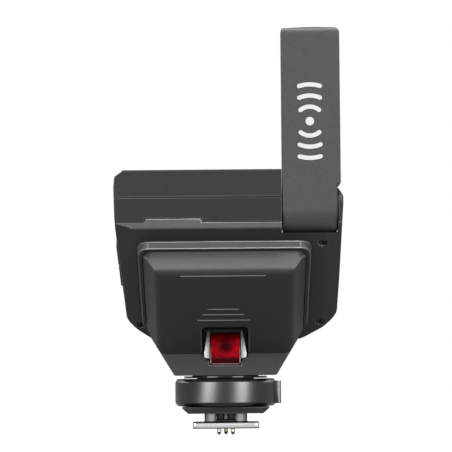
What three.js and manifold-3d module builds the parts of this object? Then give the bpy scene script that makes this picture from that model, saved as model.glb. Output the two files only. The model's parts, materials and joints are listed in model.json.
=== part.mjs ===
// Wireless flash trigger with a fold-back antenna and a locking hot-shoe foot.
// Millimetres. +Z up, -Y towards the subject, +Y towards the photographer.
// The origin is the centre of the foot's underside.

import * as THREE from 'three';
import { mergeVertices } from 'three/addons/utils/BufferGeometryUtils.js';
import Module from 'manifold-3d';

const wasm = await Module();
wasm.setup();

// ---------- driving dimensions ----------

const GAP = 0.3;
const WALL = 1.8;

// The body is a slab that leans forward over the foot. Its own frame has
// x to the right, s down the slope towards the back, and h out of the screen.
const TILT = 38;
const SLAB_Y = -38;
const SLAB_Z = 54;
const SLAB_LEFT = -29.95;
const SLAB_RIGHT = 32.2;
const SLAB_THICKNESS = 13.5;
const SLAB_LENGTH_BELOW = 47.5;
const SLAB_LENGTH_ABOVE = 54;
const LEFT_CORNER = [-27.4, 39.6];
const RIGHT_CORNER = [31.2, 38.8];
const REAR_LEFT = -12.9;
const REAR_RIGHT = 12.8;
const LOWER_SEAM = 1.4;
const UPPER_SEAM = 6.7;

const NOSE_HALF_WIDTH = 22.1;
const NOSE_START = 6.5;
const NOSE_DEPTH = 9;
const NOSE_DRAFT = 3.6;
const NOSE_LINE_X = -0.4;
const NOSE_LINES = [[9, 11.4], [23, 4.35], [25.3, 5.75], [27.7, 7.25]];
const RIM_WIDTH = 1.1;
const RIM_DEPTH = 2.5;
const PEDESTAL_FRONT = -10.1;
const PEDESTAL_BACK = 12.4;
const PEDESTAL_BOTTOM = 14.8;
const PEDESTAL_HALF_WIDTH = 14.2;

const LAMP_BACK = -8.7;
const LAMP_FRONT = -10.9;
const LAMP_TOP = 28.1;
const LAMP_BOTTOM = 19.1;
const LENS_TOP = 26.5;
const LENS_BOTTOM = 17.9;
const LAMP_HALF_WIDTH = 6.45;
const LENS_HALF_WIDTH = 4.15;

const HINGE_Y = -32;
const HINGE_Z = 59;
const BARREL_RADIUS = 5.9;
const ARM_LEFT = 15.7;
const ARM_RIGHT = 31.4;
const ARM_TOP = 108.4;
const ARM_BACK = 2.6;
const CHANNEL_LEFT = 15.5;
const CHANNEL_FLOOR = 4.75;
const EAR_INSIDE = 30.7;
const HINGE_PIN_RADIUS = 1.5;

const SCREEN_CENTRE_X = -7;
const SCREEN_WIDTH = 38.8;
const SCREEN_START = -6;
const SCREEN_LENGTH = 31.5;
const SOFT_KEYS = 4;
const SOFT_KEY_PITCH = 9.8;
const SOFT_KEY_S = 29.9;
const DIAL_S = 41.6;
const DIAL_RADIUS = 7.7;
const DIAL_RIDGES = 28;

const FOOT_WIDTH = 18.6;
const FOOT_LENGTH = 18;
const FOOT_THICKNESS = 1.8;
const NECK_WIDTH = 11.9;
const CLAMP_BOTTOM = 4.2;
const CLAMP_TOP = 6;
const CLAMP_HALF_WIDTH = 12.2;
const RING_BOTTOM = 6.2;
const RING_TOP = 13.9;
const RING_RADIUS = 14.2;
const SPINDLE_RADIUS = 8;
const COLLAR_BOSS_RADIUS = 9.3;
const PIN_PITCH = 1.92;
const PIN_ROW = 3.2;
const PIN_RADIUS = 0.65;
const PIN_TIP = -1.7;
const LOCK_PIN_Y = -7.2;

const SIDE_KEY_START = 8.9;
const SIDE_KEY_LENGTH = 8.5;
const PORT_START = 29.2;
const PORT_LENGTH = 9.4;

// ---------- materials ----------

function look(color, roughness, metalness = 0) {
  return new THREE.MeshStandardMaterial({ color, roughness, metalness });
}

const blackShell = look(0x1b1b1c, 0.55);
const greyShell = look(0x3c3c3d, 0.5);
const satinRing = look(0x222223, 0.35);
const glossBlack = look(0x0c0c0d, 0.12);
const rubber = look(0x151515, 0.8);
const keyPlastic = look(0x2a2a2b, 0.6);
const nickel = look(0xc9c8c4, 0.28, 1);
const gold = look(0xc9a24a, 0.3, 1);
const darkSteel = look(0x3a3a3c, 0.35, 1);
const redLens = look(0xb00018, 0.15);
const liner = look(0x8a8a8c, 0.4);
const screenGlass = look(0x0a0b0d, 0.06);
const board = look(0x14401f, 0.6);
const cellWrap = look(0x2b4f86, 0.5);
const ledBody = look(0xe8d9c0, 0.3);

// ---------- solids ----------

function solid(geometry) {
  const bare = geometry.clone();
  bare.deleteAttribute('normal');
  bare.deleteAttribute('uv');
  const merged = mergeVertices(bare, 1e-4);
  return new wasm.Manifold(new wasm.Mesh({
    numProp: 3,
    vertProperties: new Float32Array(merged.attributes.position.array),
    triVerts: new Uint32Array(merged.index.array),
  }));
}

function fromSolid(body) {
  const mesh = body.getMesh();
  const geometry = new THREE.BufferGeometry();
  geometry.setAttribute('position', new THREE.BufferAttribute(mesh.vertProperties, 3));
  geometry.setIndex(new THREE.BufferAttribute(mesh.triVerts, 1));
  geometry.computeVertexNormals();
  return geometry;
}

function join(...geometries) {
  return fromSolid(geometries.map(solid).reduce((all, one) => all.add(one)));
}

function cut(geometry, ...tools) {
  return fromSolid(tools.map(solid).reduce((left, tool) => left.subtract(tool), solid(geometry)));
}

function common(...geometries) {
  return fromSolid(geometries.map(solid).reduce((all, one) => all.intersect(one)));
}

// ---------- outlines and simple shapes ----------

// A closed outline through [u, v, radius] corners; a radius rounds its corner.
function outline(corners) {
  const points = corners.map(([u, v]) => new THREE.Vector2(u, v));
  const count = points.length;
  const shape = new THREE.Shape();
  points.forEach((corner, i) => {
    const radius = corners[i][2] ?? 0;
    const before = points[(i + count - 1) % count].clone().sub(corner).normalize();
    const after = points[(i + 1) % count].clone().sub(corner).normalize();
    const reach = radius / Math.tan(before.angleTo(after) / 2);
    const start = corner.clone().addScaledVector(before, reach);
    const end = corner.clone().addScaledVector(after, reach);
    if (i === 0) shape.moveTo(start.x, start.y);
    else shape.lineTo(start.x, start.y);
    if (radius > 0) shape.quadraticCurveTo(corner.x, corner.y, end.x, end.y);
  });
  shape.closePath();
  return shape;
}

function extrude(shape, depth, curveSegments = 6) {
  return new THREE.ExtrudeGeometry(shape, { depth, bevelEnabled: false, curveSegments });
}

// An outline in (x, y), from z = low to z = high.
function alongZ(shape, low, high, curveSegments) {
  return extrude(shape, high - low, curveSegments).translate(0, 0, low);
}

// An outline in (y, z), from x = low to x = high.
function alongX(shape, low, high, curveSegments) {
  const turn = new THREE.Matrix4().makeBasis(
    new THREE.Vector3(0, 1, 0), new THREE.Vector3(0, 0, 1), new THREE.Vector3(1, 0, 0));
  return extrude(shape, high - low, curveSegments).applyMatrix4(turn).translate(low, 0, 0);
}

// An outline in (x, z), from y = low to y = high.
function alongY(shape, low, high, curveSegments) {
  return extrude(shape, high - low, curveSegments).rotateX(Math.PI / 2).translate(0, high, 0);
}

function box(x0, x1, y0, y1, z0, z1) {
  const geometry = new THREE.BoxGeometry(x1 - x0, y1 - y0, z1 - z0);
  return geometry.translate((x0 + x1) / 2, (y0 + y1) / 2, (z0 + z1) / 2);
}

function rodZ(radius, low, high, x = 0, y = 0, sides = 20) {
  const rod = new THREE.CylinderGeometry(radius, radius, high - low, sides);
  return rod.rotateX(Math.PI / 2).translate(x, y, (low + high) / 2);
}

function rodX(radius, low, high, y, z, sides = 24) {
  const rod = new THREE.CylinderGeometry(radius, radius, high - low, sides);
  return rod.rotateZ(Math.PI / 2).translate((low + high) / 2, y, z);
}

function rodY(radius, low, high, x, z, sides = 20) {
  return new THREE.CylinderGeometry(radius, radius, high - low, sides).translate(x, (low + high) / 2, z);
}

// A turned piece about Z from [radius, z] points.
function turned(points, sides = 48) {
  const profile = points.map(([radius, z]) => new THREE.Vector2(radius, z));
  return new THREE.LatheGeometry(profile, sides).rotateX(Math.PI / 2);
}

// A rectangle with one corner radius, as an outline.
function roundedBox(u0, u1, v0, v1, radius) {
  return outline([[u0, v0, radius], [u1, v0, radius], [u1, v1, radius], [u0, v1, radius]]);
}

// ---------- the slab's frame ----------

const tiltAngle = THREE.MathUtils.degToRad(TILT);
const slabToWorld = new THREE.Matrix4().makeRotationX(-tiltAngle).setPosition(0, SLAB_Y, SLAB_Z);
const worldToSlab = slabToWorld.clone().invert();

function inSlab(geometry) {
  return geometry.clone().applyMatrix4(worldToSlab);
}

function inWorld(geometry) {
  return geometry.clone().applyMatrix4(slabToWorld);
}

// The (y, z) place of a point of the slab's (s, h) plane.
function slabPoint(s, h) {
  const point = new THREE.Vector3(0, s, h).applyMatrix4(slabToWorld);
  return [point.y, point.z];
}

const root = new THREE.Group();
root.name = 'flash_trigger';
const slab = new THREE.Group();
slab.position.set(0, SLAB_Y, SLAB_Z);
slab.rotation.x = -tiltAngle;
root.add(slab);

function add(parent, name, geometry, material) {
  const mesh = new THREE.Mesh(geometry, material);
  mesh.name = name;
  parent.add(mesh);
  return mesh;
}

// ---------- slab shells ----------

// The end wall is upright, so it slants in the slab's frame.
function endWallStart(h) {
  return -h * Math.tan(tiltAngle);
}

function slabBlock() {
  const side = outline([
    [endWallStart(0), 0, 0.8],
    [endWallStart(UPPER_SEAM), UPPER_SEAM],
    [endWallStart(SLAB_THICKNESS) + 1.2, SLAB_THICKNESS, 0.6],
    [SLAB_LENGTH_ABOVE, SLAB_THICKNESS, 1.6],
    [SLAB_LENGTH_BELOW, 0, 1.2],
  ]);
  const plan = outline([
    [SLAB_LEFT, -12],
    [SLAB_RIGHT, -12],
    [...RIGHT_CORNER, 8],
    [REAR_RIGHT, SLAB_LENGTH_ABOVE + 0.5, 6],
    [REAR_LEFT, SLAB_LENGTH_ABOVE + 0.5, 6],
    [...LEFT_CORNER, 6],
  ]);
  const section = outline([
    [SLAB_LEFT + 6, 0, 2],
    [SLAB_LEFT + 0.7, 1.2, 0.5],
    [SLAB_LEFT, UPPER_SEAM],
    [SLAB_LEFT + 0.5, SLAB_THICKNESS - 1.8],
    [SLAB_LEFT + 3.3, SLAB_THICKNESS],
    [SLAB_RIGHT - 2, SLAB_THICKNESS],
    [SLAB_RIGHT, UPPER_SEAM],
    [SLAB_RIGHT - 0.7, 1.2, 0.5],
    [SLAB_RIGHT - 5, 0, 2],
  ]);
  return common(
    alongX(side, SLAB_LEFT - 1, SLAB_RIGHT + 1),
    alongZ(plan, -1, SLAB_THICKNESS + 1, 8),
    alongY(section, -14, SLAB_LENGTH_ABOVE + 2));
}

// The space the antenna's barrel turns in, open towards the front.
function barrelPocket() {
  const radius = BARREL_RADIUS + GAP;
  const round = rodX(radius, CHANNEL_LEFT, EAR_INSIDE, HINGE_Y, HINGE_Z, 32);
  const front = box(CHANNEL_LEFT, EAR_INSIDE, -44, HINGE_Y, HINGE_Z - radius, HINGE_Z + 20);
  return inSlab(join(round, front));
}

// The trough the folded antenna lies in, open to the right except at the hinge's ear.
function antennaChannel() {
  const trough = box(CHANNEL_LEFT, SLAB_RIGHT + 3, -16, SLAB_LENGTH_ABOVE + 3, CHANNEL_FLOOR, 20);
  const ear = inSlab(rodX(BARREL_RADIUS + 0.3, EAR_INSIDE, SLAB_RIGHT + 4, HINGE_Y, HINGE_Z, 32));
  return cut(trough, ear);
}

function layer(low, high) {
  return box(-40, 40, -20, 70, low, high);
}

const hingeBore = inSlab(rodX(HINGE_PIN_RADIUS + GAP, 11.7, 31.3, HINGE_Y, HINGE_Z, 16));
const wholeSlab = cut(slabBlock(), barrelPocket(), antennaChannel(), hingeBore);

const screenLeft = SCREEN_CENTRE_X - SCREEN_WIDTH / 2;
const screenRight = SCREEN_CENTRE_X + SCREEN_WIDTH / 2;
const softKeyPlaces = Array.from({ length: SOFT_KEYS }, (_, i) =>
  SCREEN_CENTRE_X + (i - (SOFT_KEYS - 1) / 2) * SOFT_KEY_PITCH);

function softKeyShape(x, margin) {
  return roundedBox(x - 4 - margin, x + 4 + margin, SOFT_KEY_S - 1.9 - margin, SOFT_KEY_S + 1.9 + margin, 1.2);
}

// A space inside the slab whose left rear corner follows the slab's cut corner.
function cavityShape(left, start, end) {
  const slope = (REAR_LEFT - LEFT_CORNER[0]) / (SLAB_LENGTH_ABOVE + 0.5 - LEFT_CORNER[1]);
  const wall = LEFT_CORNER[0] + 1.5 * WALL;
  return outline([
    [left, start],
    [CHANNEL_LEFT - WALL, start],
    [CHANNEL_LEFT - WALL, end],
    [wall + (end - LEFT_CORNER[1]) * slope, end],
    [left, LEFT_CORNER[1] + (left - wall) / slope],
  ]);
}

function rearShell() {
  const cavity = alongZ(cavityShape(SLAB_LEFT + 3.9, -4, 46), 0, SLAB_THICKNESS - WALL);
  const screenWell = alongZ(
    roundedBox(screenLeft - GAP, screenRight + GAP, SCREEN_START - GAP,
      SCREEN_START + SCREEN_LENGTH + GAP, 1.6),
    SLAB_THICKNESS - 1.1, 20);
  const screenWindow = box(screenLeft + 2, screenRight - 2, SCREEN_START + 3,
    SCREEN_START + SCREEN_LENGTH - 2, 10, 14);
  const keyHoles = softKeyPlaces.map((x) => alongZ(softKeyShape(x, GAP), 10, 15));
  const dialHole = rodZ(DIAL_RADIUS + 0.4, 8.4, 20, SCREEN_CENTRE_X, DIAL_S, 36);
  return cut(common(wholeSlab, layer(UPPER_SEAM + 0.1, 20)),
    cavity, screenWell, screenWindow, ...keyHoles, dialHole, ear());
}

// The cheek that holds the hinge pin's outer end.
function ear() {
  return box(EAR_INSIDE - 1, 40, -20, 14, -1, 20);
}

function locatingTab(margin) {
  return box(-21.2 - margin, -6 + margin, -4, 1.6 + margin, LOWER_SEAM - 0.3, LOWER_SEAM + 0.8 + margin);
}

const screwPlaces = [[26.6, 6.2], [26.6, 39.6], [-23.4, 40.3]];

function screwBores() {
  return screwPlaces.map(([x, s]) => join(rodZ(1.25, -1, LOWER_SEAM, x, s), rodZ(0.75, 0, 2.9, x, s)));
}

function sideKeySlot() {
  return box(-40, SLAB_LEFT + 5, SIDE_KEY_START - GAP,
    SIDE_KEY_START + 2 * SIDE_KEY_LENGTH + 2 * GAP, 2, 5.8);
}

function portSlot() {
  return box(-40, -19.7, PORT_START - GAP, PORT_START + PORT_LENGTH + GAP, 1.9, 5.9);
}

function midFrame() {
  const cavity = alongZ(cavityShape(SLAB_LEFT + 4.3, 1.5, 44.5), 0, 20);
  const left = box(-40, EAR_INSIDE - 1, -20, 70, UPPER_SEAM - 0.1, 20);
  const upperRight = box(EAR_INSIDE - 2, 40, 14, 70, UPPER_SEAM - 0.1, 20);
  return cut(common(wholeSlab, layer(LOWER_SEAM + 0.1, 20)),
    cavity, left, upperRight, locatingTab(0.15), sideKeySlot(), portSlot(), ...screwBores());
}

function noseOutline(margin) {
  const half = NOSE_HALF_WIDTH + margin;
  return outline([
    [-half, NOSE_START - margin, 3],
    [half, NOSE_START - margin, 3],
    [half - 0.6, SLAB_LENGTH_BELOW],
    [-half + 0.6, SLAB_LENGTH_BELOW],
  ]);
}

function lowerShell() {
  const plate = join(common(wholeSlab, layer(-1, LOWER_SEAM)), common(wholeSlab, locatingTab(0)));
  const rim = cut(
    alongZ(noseOutline(RIM_WIDTH + 0.15), -RIM_DEPTH, 0.5),
    alongZ(noseOutline(0.15), -RIM_DEPTH - 1, 1),
    box(-40, 40, 37.5, 70, -10, 10));
  const opening = box(-19.8, 19.8, 8.3, 28, -1, 3);
  return cut(join(plate, rim), opening, ...screwBores());
}

add(slab, 'rear_shell', rearShell(), blackShell);
add(slab, 'mid_frame', midFrame(), blackShell);
add(slab, 'lower_shell', lowerShell(), blackShell);

screwPlaces.forEach(([x, s], i) => {
  const head = rodZ(1, 0.35, 1.05, x, s, 16);
  const shank = rodZ(0.5, 1, 2.6, x, s, 12);
  const socket = rodZ(0.45, 0, 0.75, x, s, 6);
  add(slab, `shell_screw_${i + 1}`, cut(join(head, shank), socket), darkSteel);
});

// ---------- nose and pedestal ----------

function lampRecess() {
  const niche = outline([
    [-LAMP_HALF_WIDTH, LAMP_BOTTOM, 2.2],
    [LAMP_HALF_WIDTH, LAMP_BOTTOM, 2.2],
    [LAMP_HALF_WIDTH, LAMP_TOP, 1.2],
    [-LAMP_HALF_WIDTH, LAMP_TOP, 1.2],
  ]);
  const lensSeat = box(-LENS_HALF_WIDTH - 0.25, LENS_HALF_WIDTH + 0.25, -60, LAMP_BACK,
    LENS_BOTTOM - 0.25, LAMP_BOTTOM + 1);
  return join(alongY(niche, -60, LAMP_BACK), lensSeat);
}

// The height at which the nose's sloping face meets the plane y.
function noseFaceHeight(y, depth) {
  return SLAB_Z - (depth + (y - SLAB_Y) * Math.sin(tiltAngle)) / Math.cos(tiltAngle);
}

// The sloping bay under the slab, straight inside the rim and drafted below it.
function noseBay() {
  const side = outline([
    [NOSE_START, -0.2],
    [NOSE_START, -RIM_DEPTH],
    [NOSE_START + 0.6, -NOSE_DEPTH, 2.2],
    [SLAB_LENGTH_ABOVE, -NOSE_DEPTH],
    [SLAB_LENGTH_ABOVE, -0.2],
  ]);
  const half = NOSE_HALF_WIDTH;
  const section = outline([
    [-half, 1],
    [-half, -RIM_DEPTH],
    [-half + NOSE_DRAFT, -NOSE_DEPTH, 2.4],
    [half - NOSE_DRAFT, -NOSE_DEPTH, 2.4],
    [half, -RIM_DEPTH],
    [half, 1],
  ]);
  return inWorld(common(
    alongX(side, -30, 30), alongY(section, -5, 60), alongZ(noseOutline(0), -20, 20, 8)));
}

// The upright block over the foot, with its back corners rounded like the slab's.
function pedestal() {
  const side = outline([
    [PEDESTAL_FRONT, noseFaceHeight(PEDESTAL_FRONT, 0.25)],
    [PEDESTAL_FRONT, PEDESTAL_BOTTOM],
    [PEDESTAL_BACK, PEDESTAL_BOTTOM],
    [PEDESTAL_BACK, 30.8],
    slabPoint(SLAB_LENGTH_BELOW, -0.35),
    slabPoint(SLAB_LENGTH_BELOW - 2, -0.25),
  ]);
  const plan = outline([
    [-NOSE_HALF_WIDTH, PEDESTAL_FRONT, 1.5],
    [NOSE_HALF_WIDTH, PEDESTAL_FRONT, 1.5],
    [NOSE_HALF_WIDTH, PEDESTAL_BACK, 16.5],
    [-NOSE_HALF_WIDTH, PEDESTAL_BACK, 16.5],
  ]);
  return common(alongX(side, -30, 30), alongZ(plan, 10, 40, 8));
}

function nose() {
  const front = outline([
    [-NOSE_HALF_WIDTH - 1, 60],
    [-NOSE_HALF_WIDTH + 0.5, 27, 4],
    [-PEDESTAL_HALF_WIDTH, PEDESTAL_BOTTOM, 0.5],
    [PEDESTAL_HALF_WIDTH, PEDESTAL_BOTTOM, 0.5],
    [NOSE_HALF_WIDTH - 0.5, 27, 4],
    [NOSE_HALF_WIDTH + 1, 60],
  ]);
  const whole = common(join(noseBay(), pedestal()), alongY(front, -60, 20));
  const cellBay = inWorld(box(-17.6, 17.6, 9.6, 27.6, -NOSE_DEPTH + WALL, 3));
  const ledBore = rodY(2.4, LAMP_BACK - 1, -4.6, 0, 22.4);
  const antennaEnd = inWorld(box(CHANNEL_LEFT, SLAB_RIGHT, 30, 70, CHANNEL_FLOOR, 20));
  const collarSeat = rodZ(COLLAR_BOSS_RADIUS + GAP, PEDESTAL_BOTTOM - 1, PEDESTAL_BOTTOM + 0.7, 0, 0, 64);
  return cut(whole, cellBay, lampRecess(), ledBore, antennaEnd, collarSeat, ...noseGrooves());
}

// Fine grooves across the nose's face.
function noseGrooves() {
  return NOSE_LINES.map(([s, half]) => inWorld(
    box(NOSE_LINE_X - half, NOSE_LINE_X + half, s - 0.2, s + 0.2, -NOSE_DEPTH - 1, -NOSE_DEPTH + 0.2)));
}

// An arch behind the lens's edges, with a cheek standing forward on each side of the lens.
function lampBezel() {
  const outside = LAMP_HALF_WIDTH - GAP;
  const inside = LENS_HALF_WIDTH + 0.2;
  const bottom = LAMP_BOTTOM + GAP;
  const arch = alongY(outline([
    [-outside, LAMP_TOP - GAP, 0.9],
    [-outside, bottom, 1.2],
    [-inside, bottom],
    [-inside, LENS_TOP + 0.2],
    [inside, LENS_TOP + 0.2],
    [inside, bottom],
    [outside, bottom, 1.2],
    [outside, LAMP_TOP - GAP, 0.9],
  ]), LAMP_BACK - 0.9, LAMP_BACK - GAP);
  const cheeks = [-1, 1].map((side) => alongY(outline([
    [side * inside, bottom + 0.1],
    [side * (outside - 0.15), bottom + 0.1, 1.2],
    [side * (inside + 0.75), LENS_TOP + 0.6, 0.3],
    [side * inside, LENS_TOP + 0.6],
  ]), LAMP_FRONT - 0.9, LAMP_BACK - 0.5));
  const frontArc = rodX(16, -10, 10, LAMP_FRONT + 15.2, 22.2, 64);
  return join(arch, common(join(...cheeks), frontArc));
}

function lampLens() {
  const shape = roundedBox(-LENS_HALF_WIDTH, LENS_HALF_WIDTH, LENS_BOTTOM, LENS_TOP, 0.4);
  const cover = alongY(shape, -16, LAMP_BACK - GAP);
  const bulge = rodX(14, -10, 10, LAMP_FRONT + 14, 21.4, 64);
  return common(cover, bulge);
}

add(root, 'nose_cover', nose(), blackShell);
add(root, 'lamp_bezel', lampBezel(), liner);
add(root, 'lamp_lens', lampLens(), redLens);
add(root, 'lamp_led', rodY(2, LAMP_BACK + 0.1, -5, 0, 22.4, 16), ledBody);

// ---------- inside the slab ----------

add(slab, 'battery_pack', alongX(roundedBox(10, 27.2, -6.7, 1.2, 1.2), -17, 17), cellWrap);
add(slab, 'main_board', box(-25, 13, 2.5, 27.8, 2.2, 3.6), board);
add(slab, 'display_module', box(screenLeft + 2.5, screenRight - 2.5, -2, 24, 7.4, 10.6), liner);
add(slab, 'dial_encoder', box(SCREEN_CENTRE_X - 6, SCREEN_CENTRE_X + 6, 36, 43.8, 3, 8), keyPlastic);
add(slab, 'radio_module', box(2.5, 12.5, 29.5, 40.5, 2.6, 6), nickel);

// ---------- display and keys on the photographer's side ----------

add(slab, 'screen_glass', alongZ(
  roundedBox(screenLeft, screenRight, SCREEN_START, SCREEN_START + SCREEN_LENGTH, 1.4),
  SLAB_THICKNESS - 0.9, SLAB_THICKNESS + 0.1), screenGlass);

softKeyPlaces.forEach((x, i) => {
  add(slab, `soft_key_${i + 1}`, alongZ(softKeyShape(x, 0), 10.6, SLAB_THICKNESS + 0.9), keyPlastic);
});

function dialKnob() {
  const shape = new THREE.Shape();
  for (let i = 0; i < 2 * DIAL_RIDGES; i += 1) {
    const angle = (i * Math.PI) / DIAL_RIDGES;
    const radius = i % 2 ? DIAL_RADIUS : DIAL_RADIUS - 0.35;
    const x = radius * Math.cos(angle);
    const y = radius * Math.sin(angle);
    if (i === 0) shape.moveTo(x, y);
    else shape.lineTo(x, y);
  }
  const rim = alongZ(shape, 8.8, SLAB_THICKNESS + 1.8);
  return cut(rim, rodZ(3.9, 10.4, 20, 0, 0, 24)).translate(SCREEN_CENTRE_X, DIAL_S, 0);
}

add(slab, 'dial', dialKnob(), keyPlastic);
add(slab, 'dial_button', rodZ(3.5, 11.4, SLAB_THICKNESS + 1.5, SCREEN_CENTRE_X, DIAL_S, 24), glossBlack);

// ---------- side keys and port ----------

['lamp_key', 'power_key'].forEach((name, i) => {
  const start = SIDE_KEY_START + i * (SIDE_KEY_LENGTH + GAP);
  const outside = -29.35 + 0.4 * i;
  const shape = outline([
    [outside, start, 0.5],
    [outside + 3, start],
    [outside + 3, start + SIDE_KEY_LENGTH],
    [outside + 0.35, start + SIDE_KEY_LENGTH, 0.5],
  ]);
  add(slab, name, alongZ(shape, 2.3, 5.5), keyPlastic);
});

add(slab, 'port_cover', alongZ(outline([
  [-27.85, PORT_START, 0.2],
  [-26.5, PORT_START],
  [-26.5, PORT_START + PORT_LENGTH],
  [-27.4, PORT_START + PORT_LENGTH, 0.2],
]), 2.2, 5.6), rubber);

const socketOuter = alongX(roundedBox(PORT_START + 0.2, PORT_START + 9.1, 2.3, 5.5, 1.4), -26, -20);
const socketInner = alongX(roundedBox(PORT_START + 0.6, PORT_START + 8.7, 2.7, 5.1, 1.1), -27, -21);
add(slab, 'usb_socket', cut(socketOuter, socketInner), nickel);

// ---------- antenna ----------

// The antenna stands upright in the world; it folds back about the hinge pin.
function antennaBlock() {
  const side = outline([
    [HINGE_Y - BARREL_RADIUS, HINGE_Z],
    [HINGE_Y + ARM_BACK, HINGE_Z],
    [HINGE_Y + ARM_BACK, ARM_TOP, 2],
    [HINGE_Y - BARREL_RADIUS, ARM_TOP, 2.2],
  ]);
  const middle = (ARM_LEFT + ARM_RIGHT) / 2;
  const front = outline([
    [ARM_LEFT, 50],
    [ARM_RIGHT - 0.9, 50],
    [ARM_RIGHT - 0.9, HINGE_Z + BARREL_RADIUS + 0.6],
    [ARM_RIGHT, HINGE_Z + BARREL_RADIUS + 0.8],
    [ARM_RIGHT, ARM_TOP - 0.3, 1.7],
    [middle, ARM_TOP, 12],
    [ARM_LEFT, ARM_TOP - 0.5, 0.6],
  ]);
  const barrel = rodX(BARREL_RADIUS, ARM_LEFT - 1, ARM_RIGHT + 1, HINGE_Y, HINGE_Z, 48);
  const bore = rodX(HINGE_PIN_RADIUS + 0.1, 0, 50, HINGE_Y, HINGE_Z, 24);
  return cut(common(join(alongX(side, ARM_LEFT - 1, ARM_RIGHT + 1), barrel), alongY(front, -60, 0)), bore);
}

const coverFront = HINGE_Y + 0.9;
const coverBottom = HINGE_Z + 7;
const coverTop = ARM_TOP - 3;

function antennaShell() {
  const coverSeat = box(ARM_LEFT + 1.5 - 0.1, ARM_RIGHT - 1.5 + 0.1, coverFront, 0,
    coverBottom - 0.1, coverTop + 0.1);
  const hollow = box(ARM_LEFT + 2.4, ARM_RIGHT - 2.4, HINGE_Y - 3.8, 0, coverBottom + 1, coverTop - 1);
  return cut(antennaBlock(), coverSeat, hollow);
}

function antennaCover() {
  const inside = box(ARM_LEFT + 1.7, ARM_RIGHT - 1.7, coverFront + 0.2, 0, coverBottom + 0.1, coverTop - 0.1);
  return common(antennaBlock(), inside);
}

add(root, 'antenna_arm', antennaShell(), greyShell);
add(root, 'antenna_cover', antennaCover(), greyShell);
add(root, 'antenna_element', box(20, 27.4, -34.2, -32.6, coverBottom + 2, coverTop - 2), gold);
add(root, 'hinge_pin', rodX(HINGE_PIN_RADIUS, 12, 31, HINGE_Y, HINGE_Z, 24), darkSteel);

// ---------- hot shoe ----------

function shoeBase() {
  const plate = common(
    alongY(outline([
      [-CLAMP_HALF_WIDTH + 1.8, CLAMP_BOTTOM],
      [CLAMP_HALF_WIDTH - 1.8, CLAMP_BOTTOM],
      [CLAMP_HALF_WIDTH, CLAMP_TOP - 0.3],
      [CLAMP_HALF_WIDTH, CLAMP_TOP],
      [-CLAMP_HALF_WIDTH, CLAMP_TOP],
      [-CLAMP_HALF_WIDTH, CLAMP_TOP - 0.3],
    ]), -20, 20),
    alongZ(roundedBox(-CLAMP_HALF_WIDTH, CLAMP_HALF_WIDTH, -11.6, 11.6, 4), 0, 10));
  const spindle = rodZ(SPINDLE_RADIUS, CLAMP_TOP - 0.5, PEDESTAL_BOTTOM - 0.2, 0, 0, 48);
  const neckSeat = box(-NECK_WIDTH / 2 - 0.6, NECK_WIDTH / 2 + 0.6, -9, 9, 0, 5.2);
  const lockPinBore = rodZ(1, 0, 8.2, 0, LOCK_PIN_Y, 16);
  return cut(join(plate, spindle), neckSeat, lockPinBore);
}

function shoeFoot() {
  const plate = alongZ(
    roundedBox(-FOOT_WIDTH / 2, FOOT_WIDTH / 2, -FOOT_LENGTH / 2, FOOT_LENGTH / 2, 1.2), 0, FOOT_THICKNESS);
  const neck = box(-NECK_WIDTH / 2, NECK_WIDTH / 2, -8.4, 8.4, FOOT_THICKNESS - 0.5, 4.9);
  const contactSeat = box(-4.2, 4.2, -5.2, 5.2, -1, 4.3);
  const lockPinBore = rodZ(1, -1, 6, 0, LOCK_PIN_Y, 16);
  const lockPinWindow = box(-2.4, 2.4, -10, -6.4, 2.7, 4.3);
  return cut(join(plate, neck), contactSeat, lockPinBore, lockPinWindow);
}

function lockRing() {
  const ring = turned([
    [SPINDLE_RADIUS + GAP, RING_BOTTOM],
    [RING_RADIUS - 0.8, RING_BOTTOM],
    [RING_RADIUS, RING_BOTTOM + 0.9],
    [RING_RADIUS, RING_TOP - 1],
    [RING_RADIUS - 0.6, RING_TOP],
    [SPINDLE_RADIUS + GAP, RING_TOP],
    [SPINDLE_RADIUS + GAP, RING_BOTTOM],
  ], 64);
  const tab = alongZ(outline([
    [RING_RADIUS - 1.5, -3.6],
    [RING_RADIUS + 1.35, -2.4, 0.6],
    [RING_RADIUS + 1.35, 2.4, 0.6],
    [RING_RADIUS - 1.5, 3.6],
  ]), RING_BOTTOM + 0.7, RING_TOP - 0.7);
  return join(ring, tab);
}

// A washer whose boss sits in the underside of the pedestal.
const collar = turned([
  [SPINDLE_RADIUS + GAP, RING_TOP + 0.15],
  [11.7, RING_TOP + 0.15],
  [11.7, PEDESTAL_BOTTOM - 0.2],
  [COLLAR_BOSS_RADIUS, PEDESTAL_BOTTOM - 0.2],
  [COLLAR_BOSS_RADIUS, PEDESTAL_BOTTOM + 0.4],
  [SPINDLE_RADIUS + GAP, PEDESTAL_BOTTOM + 0.4],
  [SPINDLE_RADIUS + GAP, RING_TOP + 0.15],
], 64);

const contactPlaces = {
  sync_contact: [0, 0],
  data_contact_1: [-PIN_PITCH, -PIN_ROW],
  data_contact_2: [PIN_PITCH, -PIN_ROW],
  data_contact_3: [-PIN_PITCH, PIN_ROW],
  data_contact_4: [PIN_PITCH, PIN_ROW],
};

function contactPin(x, y) {
  const tip = PIN_TIP;
  const pin = turned([
    [0, tip],
    [PIN_RADIUS * 0.45, tip],
    [PIN_RADIUS, tip + 0.7],
    [PIN_RADIUS, 2.6],
    [0, 2.6],
  ], 16);
  return pin.translate(x, y, 0);
}

const contactHoles = Object.values(contactPlaces).map(([x, y]) => rodZ(PIN_RADIUS + 0.2, -1, 3, x, y, 16));

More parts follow.
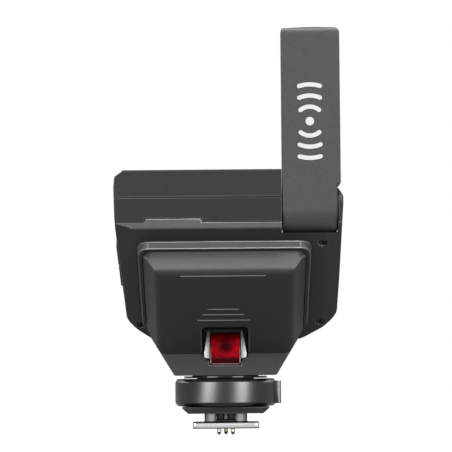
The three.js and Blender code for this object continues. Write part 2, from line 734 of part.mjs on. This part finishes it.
add(root, 'shoe_base', shoeBase(), blackShell);
add(root, 'shoe_foot', shoeFoot(), nickel);
add(root, 'lock_ring', lockRing(), satinRing);
add(root, 'swivel_collar', collar, glossBlack);
add(root, 'lock_pin', rodZ(0.75, 0.1, 6.4, 0, LOCK_PIN_Y, 16), nickel);
add(root, 'contact_block', cut(box(-3.9, 3.9, -4.9, 4.9, 0.2, 1.6), ...contactHoles), rubber);
Object.entries(contactPlaces).forEach(([name, [x, y]]) => {
  add(root, name, contactPin(x, y), name === 'sync_contact' ? gold : nickel);
});

export default root;
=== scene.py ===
"""Looks of the wireless flash trigger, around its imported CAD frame. Metres, +Z up, -Y faces the subject."""

import json
import math

import bmesh
import bpy
from mathutils import Matrix, Vector


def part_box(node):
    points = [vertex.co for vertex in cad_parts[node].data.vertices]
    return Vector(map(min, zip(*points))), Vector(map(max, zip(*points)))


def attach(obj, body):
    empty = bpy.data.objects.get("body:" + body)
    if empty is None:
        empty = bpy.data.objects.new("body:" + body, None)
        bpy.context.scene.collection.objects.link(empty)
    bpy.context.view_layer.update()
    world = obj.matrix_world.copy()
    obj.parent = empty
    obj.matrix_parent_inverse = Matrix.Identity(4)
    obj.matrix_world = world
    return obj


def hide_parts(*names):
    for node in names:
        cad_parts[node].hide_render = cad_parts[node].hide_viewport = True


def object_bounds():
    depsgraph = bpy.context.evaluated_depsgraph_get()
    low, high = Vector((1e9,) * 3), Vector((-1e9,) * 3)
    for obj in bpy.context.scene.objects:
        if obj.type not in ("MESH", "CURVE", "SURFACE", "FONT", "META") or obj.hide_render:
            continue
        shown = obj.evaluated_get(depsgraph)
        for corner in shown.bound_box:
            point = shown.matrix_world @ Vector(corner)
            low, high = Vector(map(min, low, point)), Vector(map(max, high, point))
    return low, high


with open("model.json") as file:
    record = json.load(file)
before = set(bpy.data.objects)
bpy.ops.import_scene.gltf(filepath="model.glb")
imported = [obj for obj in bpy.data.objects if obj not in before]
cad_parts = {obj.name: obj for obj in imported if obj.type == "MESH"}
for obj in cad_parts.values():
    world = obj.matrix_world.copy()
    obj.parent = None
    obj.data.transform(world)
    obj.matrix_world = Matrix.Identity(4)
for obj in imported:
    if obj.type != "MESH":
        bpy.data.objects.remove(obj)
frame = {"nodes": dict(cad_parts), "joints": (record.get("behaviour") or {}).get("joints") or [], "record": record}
cad_box = [list(corner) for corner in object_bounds()]

MM = 0.001

SLIGHT_ANGLE = math.radians(0.8)     # faces closer than this to one plane count as flat
CRISP_ANGLE = math.radians(30)       # an edge sharper than this gets rounded
SHARP_ANGLE = math.radians(32)       # shading breaks at an edge sharper than this
BROAD_AREA = 40 * MM * MM            # a region larger than this is shaded flat even if it curves slightly

# ---------- places, from the frame ----------

JOINTS = {joint["name"]: joint for joint in frame["joints"]}
BODY_OF = {node: body
           for body, nodes in frame["record"]["behaviour"]["bodies"].items() for node in nodes}
SLOT_OF = {part["node"]: part["material_slot"] for part in frame["record"]["subparts"]}

X_AXIS = Vector((1, 0, 0))
OUT = Vector(JOINTS["dial_turn"]["axis"]).normalized()      # out of the screen
DOWN = X_AXIS.cross(OUT) * -1                                # down the slab's slope, towards the back
SLAB = Matrix((X_AXIS, DOWN, OUT)).transposed().to_4x4()


def span(node, direction):
    """The lowest and highest reach of a CAD node along a direction."""
    reach = [vertex.co.dot(direction) for vertex in frame["nodes"][node].data.vertices]
    return min(reach), max(reach)


def middle(node):
    low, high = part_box(node)
    return (low + high) / 2


# ---------- materials ----------

def new_material(name):
    material = bpy.data.materials.new(name)
    material.use_nodes = True
    shader = material.node_tree.nodes["Principled BSDF"]
    return material, material.node_tree, shader


def object_position(tree):
    return tree.nodes.new("ShaderNodeTexCoord").outputs["Object"]


def noise(tree, scale, detail=3.0, roughness=0.55):
    node = tree.nodes.new("ShaderNodeTexNoise")
    node.inputs["Scale"].default_value = scale
    node.inputs["Detail"].default_value = detail
    node.inputs["Roughness"].default_value = roughness
    tree.links.new(object_position(tree), node.inputs["Vector"])
    return node.outputs["Fac"]


def remap(tree, value, low, high):
    node = tree.nodes.new("ShaderNodeMapRange")
    node.inputs["From Min"].default_value = 0.3
    node.inputs["From Max"].default_value = 0.7
    node.inputs["To Min"].default_value = low
    node.inputs["To Max"].default_value = high
    tree.links.new(value, node.inputs["Value"])
    return node.outputs["Result"]


def tint(tree, value, dark, light):
    ramp = tree.nodes.new("ShaderNodeValToRGB")
    ramp.color_ramp.elements[0].position = 0.3
    ramp.color_ramp.elements[0].color = (*dark, 1)
    ramp.color_ramp.elements[1].position = 0.7
    ramp.color_ramp.elements[1].color = (*light, 1)
    tree.links.new(value, ramp.inputs["Fac"])
    return ramp.outputs["Color"]


def bump(tree, shader, value, strength, distance):
    node = tree.nodes.new("ShaderNodeBump")
    node.inputs["Strength"].default_value = strength
    node.inputs["Distance"].default_value = distance
    tree.links.new(value, node.inputs["Height"])
    tree.links.new(node.outputs["Normal"], shader.inputs["Normal"])


def grained(name, dark, light, rough, grain_mm, strength,
            specular=0.4, metallic=0.0, coat=0.0, mottle_mm=16.0):
    """Moulded plastic or blasted metal: a fine grain, mottled colour and uneven gloss."""
    material, tree, shader = new_material(name)
    grain = noise(tree, 1 / (grain_mm * MM), detail=2.0)
    mottle = noise(tree, 1 / (mottle_mm * MM), detail=4.0)
    tree.links.new(tint(tree, mottle, dark, light), shader.inputs["Base Color"])
    tree.links.new(remap(tree, grain, rough[0], rough[1]), shader.inputs["Roughness"])
    bump(tree, shader, grain, strength, 0.02 * MM)
    shader.inputs["Specular IOR Level"].default_value = specular
    shader.inputs["Metallic"].default_value = metallic
    shader.inputs["Coat Weight"].default_value = coat
    shader.inputs["Coat Roughness"].default_value = 0.08
    return material


def ramp_along(tree, axis, start, end):
    """Rises from 0 to 1 between two places along an axis of the object."""
    parts = tree.nodes.new("ShaderNodeSeparateXYZ")
    tree.links.new(object_position(tree), parts.inputs["Vector"])
    node = tree.nodes.new("ShaderNodeMapRange")
    node.interpolation_type = "SMOOTHSTEP"
    node.inputs["From Min"].default_value = start
    node.inputs["From Max"].default_value = end
    tree.links.new(parts.outputs[axis], node.inputs["Value"])
    return node.outputs["Result"]


def product(tree, *values):
    result = values[0]
    for value in values[1:]:
        node = tree.nodes.new("ShaderNodeMath")
        node.operation = "MULTIPLY"
        tree.links.new(result, node.inputs[0])
        tree.links.new(value, node.inputs[1])
        result = node.outputs["Value"]
    return result


def larger(tree, one, other):
    node = tree.nodes.new("ShaderNodeMath")
    node.operation = "MAXIMUM"
    tree.links.new(one, node.inputs[0])
    tree.links.new(other, node.inputs[1])
    return node.outputs["Value"]


def radial(tree, centre, inner, outer):
    """Rises from 0 to 1 between two radii around a line through the centre, from front to back."""
    shift = tree.nodes.new("ShaderNodeVectorMath")
    shift.operation = "SUBTRACT"
    shift.inputs[1].default_value = centre
    tree.links.new(object_position(tree), shift.inputs[0])
    flat = tree.nodes.new("ShaderNodeVectorMath")
    flat.operation = "MULTIPLY"
    flat.inputs[1].default_value = (1, 0, 1)
    tree.links.new(shift.outputs["Vector"], flat.inputs[0])
    length = tree.nodes.new("ShaderNodeVectorMath")
    length.operation = "LENGTH"
    tree.links.new(flat.outputs["Vector"], length.inputs[0])
    node = tree.nodes.new("ShaderNodeMapRange")
    node.interpolation_type = "SMOOTHSTEP"
    node.inputs["From Min"].default_value = inner
    node.inputs["From Max"].default_value = outer
    tree.links.new(length.outputs["Value"], node.inputs["Value"])
    return node.outputs["Result"]


def blend(tree, amount, low_colour, high_colour):
    ramp = tree.nodes.new("ShaderNodeValToRGB")
    ramp.color_ramp.elements[0].color = (*low_colour, 1)
    ramp.color_ramp.elements[1].color = (*high_colour, 1)
    tree.links.new(amount, ramp.inputs["Fac"])
    return ramp.outputs["Color"]


def red_plastic():
    """Clear red lamp cover with painted light: brighter red around the dark lamp behind its middle as a painted
    reflection, and painted shade towards the top and along the foot.
    """
    material, tree, shader = new_material("lamp_red")
    low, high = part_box("lamp_lens")
    centre = middle("lamp_lens")
    half = (high.x - low.x) / 2
    tall = high.z - low.z
    lamp = (centre.x, 0, low.z + 0.57 * tall)
    around = radial(tree, lamp, 0.1 * half, 0.85 * half)
    under_top = ramp_along(tree, "Z", high.z + 0.04 * tall, high.z - 0.3 * tall)
    over_foot = ramp_along(tree, "Z", low.z + 0.14 * tall, low.z + 0.3 * tall)
    over_strip = ramp_along(tree, "Z", low.z + 0.13 * tall, low.z + 0.15 * tall)
    cloud = remap(tree, noise(tree, 620, detail=2.0), 0.22, 1.1)
    # painted light: a painted reflection around the lamp, with painted shade at the top and the foot
    painted_light = product(tree, around, under_top, over_foot, over_strip, cloud)
    tree.links.new(blend(tree, painted_light, (0.035, 0.0, 0.002), (0.46, 0.0, 0.008)), shader.inputs["Base Color"])
    tree.links.new(remap(tree, noise(tree, 900), 0.1, 0.18), shader.inputs["Roughness"])
    shader.inputs["Specular IOR Level"].default_value = 0.1
    return material


def lens_rim():
    """Edges of the red cover with a painted highlight: pale low down, with painted shade going dark towards the
    top.
    """
    material, tree, shader = new_material("lamp_red_rim")
    low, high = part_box("lamp_lens")
    tall = high.z - low.z
    lit = ramp_along(tree, "Z", low.z + 0.6 * tall, low.z + 0.35 * tall)
    tree.links.new(blend(tree, lit, (0.06, 0.0, 0.003), (0.75, 0.42, 0.42)), shader.inputs["Base Color"])
    tree.links.new(remap(tree, noise(tree, 900), 0.12, 0.2), shader.inputs["Roughness"])
    return material


def lamp_liner():
    """Grey cheeks beside the lamp with a painted reflection: bright along their outer and lower edges, painted
    shade beside the lens.
    """
    material, tree, shader = new_material("liner_grey")
    low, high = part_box("lamp_bezel")
    lens_low, lens_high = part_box("lamp_lens")
    right = ramp_along(tree, "X", lens_high.x - 0.2 * MM, high.x - 0.2 * MM)
    left = ramp_along(tree, "X", lens_low.x + 0.2 * MM, low.x + 0.2 * MM)
    down = ramp_along(tree, "Z", high.z - 0.4 * MM, low.z + 0.2 * MM)
    cloud = remap(tree, noise(tree, 500, detail=3.0), 0.85, 1.1)
    lit = product(tree, larger(tree, left, right), down, cloud)
    tree.links.new(blend(tree, lit, (0.17, 0.18, 0.2), (1.0, 1.0, 1.0)), shader.inputs["Base Color"])
    tree.links.new(remap(tree, noise(tree, 2000), 0.2, 0.3), shader.inputs["Roughness"])
    return material


def contact_pin(name, colour):
    """Plated pin with a painted dark reflection on its rounded tip."""
    material, tree, shader = new_material(name)
    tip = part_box("sync_contact")[0].z
    above = ramp_along(tree, "Z", tip + 0.45 * MM, tip + 0.95 * MM)
    tree.links.new(blend(tree, above, (0.02, 0.02, 0.02), colour), shader.inputs["Base Color"])
    tree.links.new(remap(tree, noise(tree, 3000), 0.2, 0.3), shader.inputs["Roughness"])
    shader.inputs["Metallic"].default_value = 1.0
    return material


NECK_REACH = 5.95 * MM               # half the width of the foot's neck
NECK_INNER = 2.6 * MM                # where its side blocks begin


def foot_neck():
    """Plated neck of the foot with painted highlights: each side block is bright in its middle and dark at its
    edges.
    """
    material, tree, shader = new_material("nickel_neck")
    sides = []
    for side in (1, -1):
        inward = ramp_along(tree, "X", side * NECK_INNER, side * (NECK_INNER + 1.2 * MM))
        outward = ramp_along(tree, "X", side * (NECK_REACH + 0.1 * MM), side * (NECK_REACH - 1.9 * MM))
        sides.append(product(tree, inward, outward))
    lit = larger(tree, *sides)
    tree.links.new(blend(tree, lit, (0.05, 0.05, 0.05), (0.46, 0.457, 0.45)), shader.inputs["Base Color"])
    tree.links.new(remap(tree, noise(tree, 2500), 0.25, 0.35), shader.inputs["Roughness"])
    shader.inputs["Metallic"].default_value = 1.0
    return material


MATERIALS = {
    "black_shell": grained(
        "shell_black", (0.0185, 0.0185, 0.019), (0.0245, 0.0245, 0.025), (0.44, 0.56), 0.11, 0.35,
        specular=0.22, mottle_mm=0.5),
    "grey_shell": grained(
        "shell_grey", (0.041, 0.041, 0.042), (0.061, 0.061, 0.062), (0.4, 0.55), 0.14, 0.4,
        mottle_mm=0.45),
    "ring_black": grained(
        "ring_black", (0.056, 0.056, 0.058), (0.07, 0.07, 0.072), (0.29, 0.37), 0.09, 0.12,
        metallic=1.0),
    "gloss_black": grained(
        "gloss_black", (0.006, 0.006, 0.007), (0.009, 0.009, 0.01), (0.06, 0.1), 0.4, 0.05,
        specular=0.5, coat=0.6),
    "key_black": grained(
        "key_black", (0.03, 0.03, 0.031), (0.042, 0.042, 0.043), (0.5, 0.62), 0.1, 0.3),
    "rubber_black": grained(
        "rubber_black", (0.012, 0.012, 0.012), (0.02, 0.02, 0.02), (0.72, 0.85), 0.16, 0.4,
        specular=0.25),
    "nickel": grained(
        "nickel", (0.76, 0.755, 0.74), (0.86, 0.855, 0.84), (0.2, 0.3), 0.2, 0.08, metallic=1.0),
    "gold": contact_pin("gold_pin", (0.78, 0.66, 0.46)),
    "dark_steel": grained(
        "dark_steel", (0.03, 0.03, 0.032), (0.05, 0.05, 0.052), (0.35, 0.45), 0.15, 0.1,
        metallic=1.0),
    "red_lens": red_plastic(),
    "liner_grey": lamp_liner(),
    "screen_glass": grained(
        "screen_black", (0.004, 0.0045, 0.006), (0.006, 0.0065, 0.009), (0.03, 0.05), 2.0, 0.0,
        specular=0.5, coat=0.4),
    "board_green": grained("board_green", (0.01, 0.08, 0.02), (0.02, 0.12, 0.04), (0.4, 0.5), 0.3, 0.1),
    "cell_wrap": grained("cell_wrap", (0.03, 0.08, 0.22), (0.05, 0.12, 0.3), (0.3, 0.4), 0.5, 0.1),
    "led": grained("led_clear", (0.7, 0.6, 0.4), (0.85, 0.75, 0.5), (0.15, 0.25), 0.5, 0.05),
}
# Copies of the finishes for rounded edges: the lighter black edge is a painted highlight, and the darker grey and
# nickel edges are painted shade.
EDGE_LIGHT_AND_SHADE = {
    "black_shell": grained(
        "shell_black_edge", (0.045, 0.045, 0.046), (0.065, 0.065, 0.066), (0.42, 0.52), 0.11, 0.2,
        specular=0.32),
    "grey_shell": grained(
        "shell_grey_edge", (0.03, 0.03, 0.031), (0.042, 0.042, 0.043), (0.34, 0.44), 0.14, 0.2,
        specular=0.3),
    "red_lens": lens_rim(),
    "nickel": grained(
        "nickel_edge", (0.07, 0.068, 0.065), (0.11, 0.108, 0.104), (0.25, 0.35), 0.2, 0.08,
        metallic=1.0),
}
NICKEL_PIN = contact_pin("nickel_pin", (0.8, 0.795, 0.78))
NICKEL_NECK = foot_neck()
PRINT_WHITE = grained("print_white", (0.54, 0.54, 0.54), (0.62, 0.62, 0.62), (0.45, 0.55), 0.15, 0.1)
LINE_GREY = grained("line_grey", (0.2, 0.2, 0.2), (0.27, 0.27, 0.27), (0.4, 0.5), 0.15, 0.1)


# ---------- pieces ----------

# An edge is rounded only if its neighbours are longer than this many times the rounding.
ROOM = 1.3
TIGHT_ROOM = {"antenna_arm": 0.7, "lamp_lens": 0.7, "shoe_foot": 0.9}


def finish_piece(mesh, name, body, materials):
    """Adds a mesh as a piece that rides on a body, and keeps its flat faces flat."""
    flat = [face.index for face in mesh.polygons if not face.use_smooth]
    mesh.set_sharp_from_angle(angle=SHARP_ANGLE)
    for index in flat:
        mesh.polygons[index].use_smooth = False
    for material in materials:
        mesh.materials.append(material)
    piece = bpy.data.objects.new(name, mesh)
    bpy.context.scene.collection.objects.link(piece)
    flatten = piece.modifiers.new("flat_faces", "WEIGHTED_NORMAL")
    flatten.keep_sharp = True
    flatten.weight = 80
    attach(piece, body)
    return piece


def roomy_edges(bm, shortest):
    """Crisp edges whose neighbours are all long enough to be rounded."""
    crisp = [e for e in bm.edges if len(e.link_faces) == 2 and e.calc_face_angle(0) > CRISP_ANGLE]
    return [e for e in crisp
            if all(near.calc_length() > shortest for vertex in e.verts for near in vertex.link_edges)]


def flat_region(face):
    """The face with every unrounded face that carries on in its plane."""
    region, todo = {face}, [face]
    while todo:
        for edge in todo.pop().edges:
            for near in edge.link_faces:
                level = near.material_index == 0 and edge.calc_face_angle(1) < SLIGHT_ANGLE
                if near not in region and level:
                    region.add(near)
                    todo.append(near)
    return region


def shade(bm):
    """Smooth shading on rounded edges and curved walls; flat faces stay truly flat."""
    waiting = {face for face in bm.faces if face.material_index == 0}
    for face in bm.faces:
        face.smooth = True
    for face in bm.faces:
        if face in waiting:
            region = flat_region(face)
            waiting -= region
            edges = {edge for member in region for edge in member.edges if len(edge.link_faces) == 2}
            curved = any(SLIGHT_ANGLE < edge.calc_face_angle() < SHARP_ANGLE for edge in edges
                         if all(near.material_index == 0 for near in edge.link_faces))
            if not curved or sum(member.calc_area() for member in region) > BROAD_AREA:
                for member in region:
                    member.smooth = False


def moulded(node, width_mm):
    """A node's own shape with its edges rounded; the rounded faces take the edge material, a copy of the finish
    with a painted highlight or painted shade.
    """
    width = width_mm * MM
    bm = bmesh.new()
    bm.from_mesh(frame["nodes"][node].data)
    bmesh.ops.remove_doubles(bm, verts=bm.verts, dist=0.004 * MM)
    bmesh.ops.dissolve_limit(bm, angle_limit=SLIGHT_ANGLE, verts=bm.verts, edges=bm.edges)
    bmesh.ops.triangulate(bm, faces=bm.faces)
    room = TIGHT_ROOM.get(node, ROOM)
    bmesh.ops.bevel(bm, geom=roomy_edges(bm, room * width), offset=width, offset_type="OFFSET",
                    segments=2, profile=0.5, affect="EDGES", clamp_overlap=False, material=1)
    shade(bm)
    mesh = bpy.data.meshes.new(node + "_skin")
    bm.to_mesh(mesh)
    bm.free()
    slot = SLOT_OF[node]
    piece = finish_piece(mesh, node + "_skin", BODY_OF[node],
                         [MATERIALS[slot], EDGE_LIGHT_AND_SHADE.get(slot, MATERIALS[slot])])
    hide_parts(node)
    return piece


ROUNDING_MM = {
    "rear_shell": 0.3, "mid_frame": 0.2, "lower_shell": 0.25, "nose_cover": 0.3,
    "antenna_arm": 0.4, "antenna_cover": 0.2, "shoe_base": 0.25, "shoe_foot": 0.28,
    "lock_ring": 0.25, "swivel_collar": 0.12, "lamp_bezel": 0.2, "screen_glass": 0.2,
    "lamp_lens": 0.16, "dial_button": 0.3, "port_cover": 0.2, "lamp_key": 0.25,
    "power_key": 0.25, "usb_socket": 0.08, "contact_block": 0.1, "hinge_pin": 0.2,
    "lock_pin": 0.2, "dial": 0.2,
}
for index in range(1, 5):
    ROUNDING_MM[f"soft_key_{index}"] = 0.2

skins = {node: moulded(node, width) for node, width in ROUNDING_MM.items()}


def repaint(node, chosen, material):
    """Gives the chosen faces of a piece their own material."""
    mesh = skins[node].data
    mesh.materials.append(material)
    for face in mesh.polygons:
        if chosen(face):
            face.material_index = len(mesh.materials) - 1


# The bezel's deep arch over the lens is painted black: painted shade under the hood.
arch_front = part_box("lamp_bezel")[1].y - 0.65 * MM
repaint("lamp_bezel", lambda face: face.center.y > arch_front, MATERIALS["black_shell"])

nose_face = min(face.center.dot(OUT) for face in skins["nose_cover"].data.polygons
                if face.normal.dot(OUT) < -0.99)


def in_nose_groove(face):
    """The floors and side walls of the four shallow grooves."""
    depth = face.center.dot(OUT) - nose_face
    if face.normal.dot(OUT) < -0.99:
        return depth > 0.1 * MM
    return abs(face.normal.dot(OUT)) < 0.1 and 0.04 * MM < depth < 0.16 * MM


repaint("nose_cover", in_nose_groove, LINE_GREY)

FOOT_THICKNESS = 1.8 * MM
# The foot's neck takes the plated finish with painted highlights.
repaint("shoe_foot", lambda face: face.center.z > FOOT_THICKNESS + 0.1 * MM, NICKEL_NECK)
# The whole lock pin takes the dark nickel edge copy: painted shade.
repaint("lock_pin", lambda face: True, EDGE_LIGHT_AND_SHADE["nickel"])

OWN_MATERIAL = {f"data_contact_{index}": NICKEL_PIN for index in range(1, 5)}

for node, item in frame["nodes"].items():
    if node not in ROUNDING_MM:
        item.data.materials.clear()
        item.data.materials.append(OWN_MATERIAL.get(node, MATERIALS[SLOT_OF[node]]))
        item.data.shade_smooth()
        item.data.set_sharp_from_angle(angle=SHARP_ANGLE)


# ---------- printed marks ----------

def thick_loop(bm, outline, place):
    """A thin closed plate from a flat outline; place(a, b, side) puts its points on a surface."""
    rings = [[bm.verts.new(place(a, b, side)) for a, b in outline] for side in (1, -1)]
    bm.faces.new(rings[0])
    bm.faces.new(list(reversed(rings[1])))
    for index in range(len(outline)):
        after = (index + 1) % len(outline)
        bm.faces.new((rings[0][index], rings[1][index], rings[1][after], rings[0][after]))


def arc_band(centre, radius, width, start, end, steps=16):
    """The outline of a curved stroke with rounded ends, with angles from straight up."""
    def around(point, r, angle):
        return point[0] + r * math.sin(angle), point[1] + r * math.cos(angle)

    def cap(angle, first):
        tip = around(centre, radius, angle)
        return [around(tip, width / 2, first + math.pi * step / 6) for step in range(1, 6)]

    angles = [start + (end - start) * step / steps for step in range(steps + 1)]
    outer = [around(centre, radius + width / 2, angle) for angle in angles]
    inner = [around(centre, radius - width / 2, angle) for angle in reversed(angles)]
    return outer + cap(end, end) + inner + cap(start, start + math.pi)


def circle(centre, radius, steps=32):
    turn = 2 * math.pi / steps
    return [(centre[0] + radius * math.sin(turn * step), centre[1] + radius * math.cos(turn * step))
            for step in range(steps)]


def printed(name, body, outlines, place, ink=PRINT_WHITE):
    """Flat printing that stands a few hundredths of a millimetre proud of its surface."""
    bm = bmesh.new()
    for outline in outlines:
        thick_loop(bm, outline, place)
    bmesh.ops.recalc_face_normals(bm, faces=bm.faces)
    mesh = bpy.data.meshes.new(name)
    bm.to_mesh(mesh)
    bm.free()
    finish_piece(mesh, name, body, [ink])


INK = 0.04 * MM
STROKE = 1.15 * MM


def signal_mark():
    """A plain sign for radio waves, a dot with arcs above and below it, printed on the arm's front."""
    low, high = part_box("antenna_arm")
    centre = ((low.x + high.x) / 2 - 0.3 * MM, low.z + 0.535 * (high.z - low.z))
    outlines = [circle(centre, STROKE)]
    for radius, half_angle in ((3.9, 40), (6.9, 24), (9.9, 16.5)):
        for upright in (0, math.pi):
            spread = math.radians(half_angle)
            outlines.append(arc_band(centre, radius * MM, STROKE, upright - spread, upright + spread))
    printed("signal_mark", "antenna", outlines, lambda x, z, side: (x, low.y - side * INK, z))


def key_marks():
    """A short bar on each soft key and a dot on the dial's button."""
    for node in [f"soft_key_{index}" for index in range(1, 5)] + ["dial_button"]:
        top = span(node, OUT)[1]
        across = sum(span(node, X_AXIS)) / 2
        along = sum(span(node, DOWN)) / 2
        if node == "dial_button":
            outline = circle((across, along), 0.55 * MM)
        else:
            half, thin = 1.5 * MM, 0.22 * MM
            outline = [(across + half * u, along + thin * v) for u, v in ((-1, -1), (1, -1), (1, 1), (-1, 1))]
        printed(node + "_mark", BODY_OF[node], [outline],
                lambda a, b, side: X_AXIS * a + DOWN * b + OUT * (top + side * INK), LINE_GREY)


signal_mark()
key_marks()


# ---------- camera ----------

CAMERA_DISTANCE = 0.7
CAMERA_HEIGHT = 0.0139
CAMERA_SIDE = 0.0005
FRAME_WIDTH = 0.1277
AIM_HEIGHT = 0.057
ROLL = math.radians(0.5)             # the photo's body leans by this much
SENSOR_WIDTH_MM = 36

camera_data = bpy.data.cameras.new("camera")
camera_data.sensor_width = SENSOR_WIDTH_MM
camera_data.lens = SENSOR_WIDTH_MM * CAMERA_DISTANCE / FRAME_WIDTH
camera_data.clip_start = 0.01
camera = bpy.data.objects.new("camera", camera_data)
bpy.context.scene.collection.objects.link(camera)
eye = Vector((CAMERA_SIDE, -CAMERA_DISTANCE, CAMERA_HEIGHT))
aim = Vector((CAMERA_SIDE, 0, AIM_HEIGHT))
facing = (aim - eye).to_track_quat("-Z", "Y").to_matrix().to_4x4()
camera.matrix_world = Matrix.Translation(eye) @ facing @ Matrix.Rotation(-ROLL, 4, "Z")
bpy.context.scene.camera = camera


# ---------- studio ----------

FILL_LEVEL = 0.39
BACKDROP_LEVEL = 1.0
FLOOR_FILL = 0.34
FLOOR_GLOW = 0.96


def area_light(name, place, target, size, power, only=()):
    """A soft box; with only given, flags keep its light off every other piece."""
    data = bpy.data.lights.new(name, "AREA")
    data.shape = "RECTANGLE"
    data.size = size[0]
    data.size_y = size[1]
    data.energy = power
    light = bpy.data.objects.new(name, data)
    light.location = place
    light.rotation_euler = (Vector(target) - Vector(place)).to_track_quat("-Z", "Y").to_euler()
    bpy.context.scene.collection.objects.link(light)
    if only:
        lit = bpy.data.collections.new(name + "_lit")
        for node in only:
            lit.objects.link(skins[node])
        light.light_linking.receiver_collection = lit


def seen_level(tree, as_light, as_seen):
    """One level where a surface lights the object, and another where it is looked at directly."""
    path = tree.nodes.new("ShaderNodeLightPath")
    level = tree.nodes.new("ShaderNodeMapRange")
    level.inputs["To Min"].default_value = as_light
    level.inputs["To Max"].default_value = as_seen
    tree.links.new(path.outputs["Is Camera Ray"], level.inputs["Value"])
    return level.outputs["Result"]


def floor():
    bm = bmesh.new()
    bmesh.ops.create_grid(bm, x_segments=1, y_segments=1, size=6)
    mesh = bpy.data.meshes.new("floor")
    bm.to_mesh(mesh)
    bm.free()
    material, tree, shader = new_material("floor_pale")
    shader.inputs["Base Color"].default_value = (0.09, 0.09, 0.09, 1)
    shader.inputs["Roughness"].default_value = 0.9
    shader.inputs["Specular IOR Level"].default_value = 0.1
    shader.inputs["Emission Color"].default_value = (1, 1, 1, 1)
    tree.links.new(seen_level(tree, FLOOR_FILL, FLOOR_GLOW), shader.inputs["Emission Strength"])
    mesh.materials.append(material)
    plane = bpy.data.objects.new("floor", mesh)
    plane.location.z = cad_box[0][2] - 0.3 * MM
    bpy.context.scene.collection.objects.link(plane)


floor()
area_light("overhead", (0, -0.24, 0.85), (0, -0.02, 0.05), (0.6, 0.3), 10)
area_light("strip_left", (-0.36, -0.48, 0.12), (0, 0, 0.02), (0.32, 0.34), 1.7)
area_light("strip_right", (0.34, -0.49, 0.12), (0, 0, 0.02), (0.32, 0.34), 1.7)
area_light("ring_left", (-0.39, -0.45, 0.12), (0, 0, 0.02), (0.24, 0.34), 3.6, only=["lock_ring"])
area_light("ring_right", (0.37, -0.47, 0.12), (0, 0, 0.02), (0.24, 0.34), 3.4, only=["lock_ring"])
area_light("foot_front", (0, -0.9, 0.06), (0, 0, 0.001), (0.5, 0.1), 0.14, only=["shoe_foot"])
area_light("kicker_left", (-0.56, 0.27, 0.4), (0, 0, 0.05), (0.5, 0.5), 3)
area_light("kicker_right", (0.56, 0.27, 0.4), (0, 0, 0.05), (0.5, 0.5), 3)
FRONT_BANK = ((0, -0.47, 0.39), (0, -0.034, 0.047), (0.4, 0.12))
area_light("flagged_rim", *FRONT_BANK, 10.5, only=["lower_shell"])
area_light("flagged_nose", *FRONT_BANK, 5, only=["nose_cover"])


def studio_world():
    """White to look at, and a weaker, even fill as a light."""
    world = bpy.data.worlds.new("studio")
    world.use_nodes = True
    tree = world.node_tree
    background = tree.nodes["Background"]
    background.inputs["Color"].default_value = (1, 1, 1, 1)
    tree.links.new(seen_level(tree, FILL_LEVEL, BACKDROP_LEVEL), background.inputs["Strength"])
    bpy.context.scene.world = world


studio_world()
bpy.context.scene.view_settings.view_transform = "Standard"
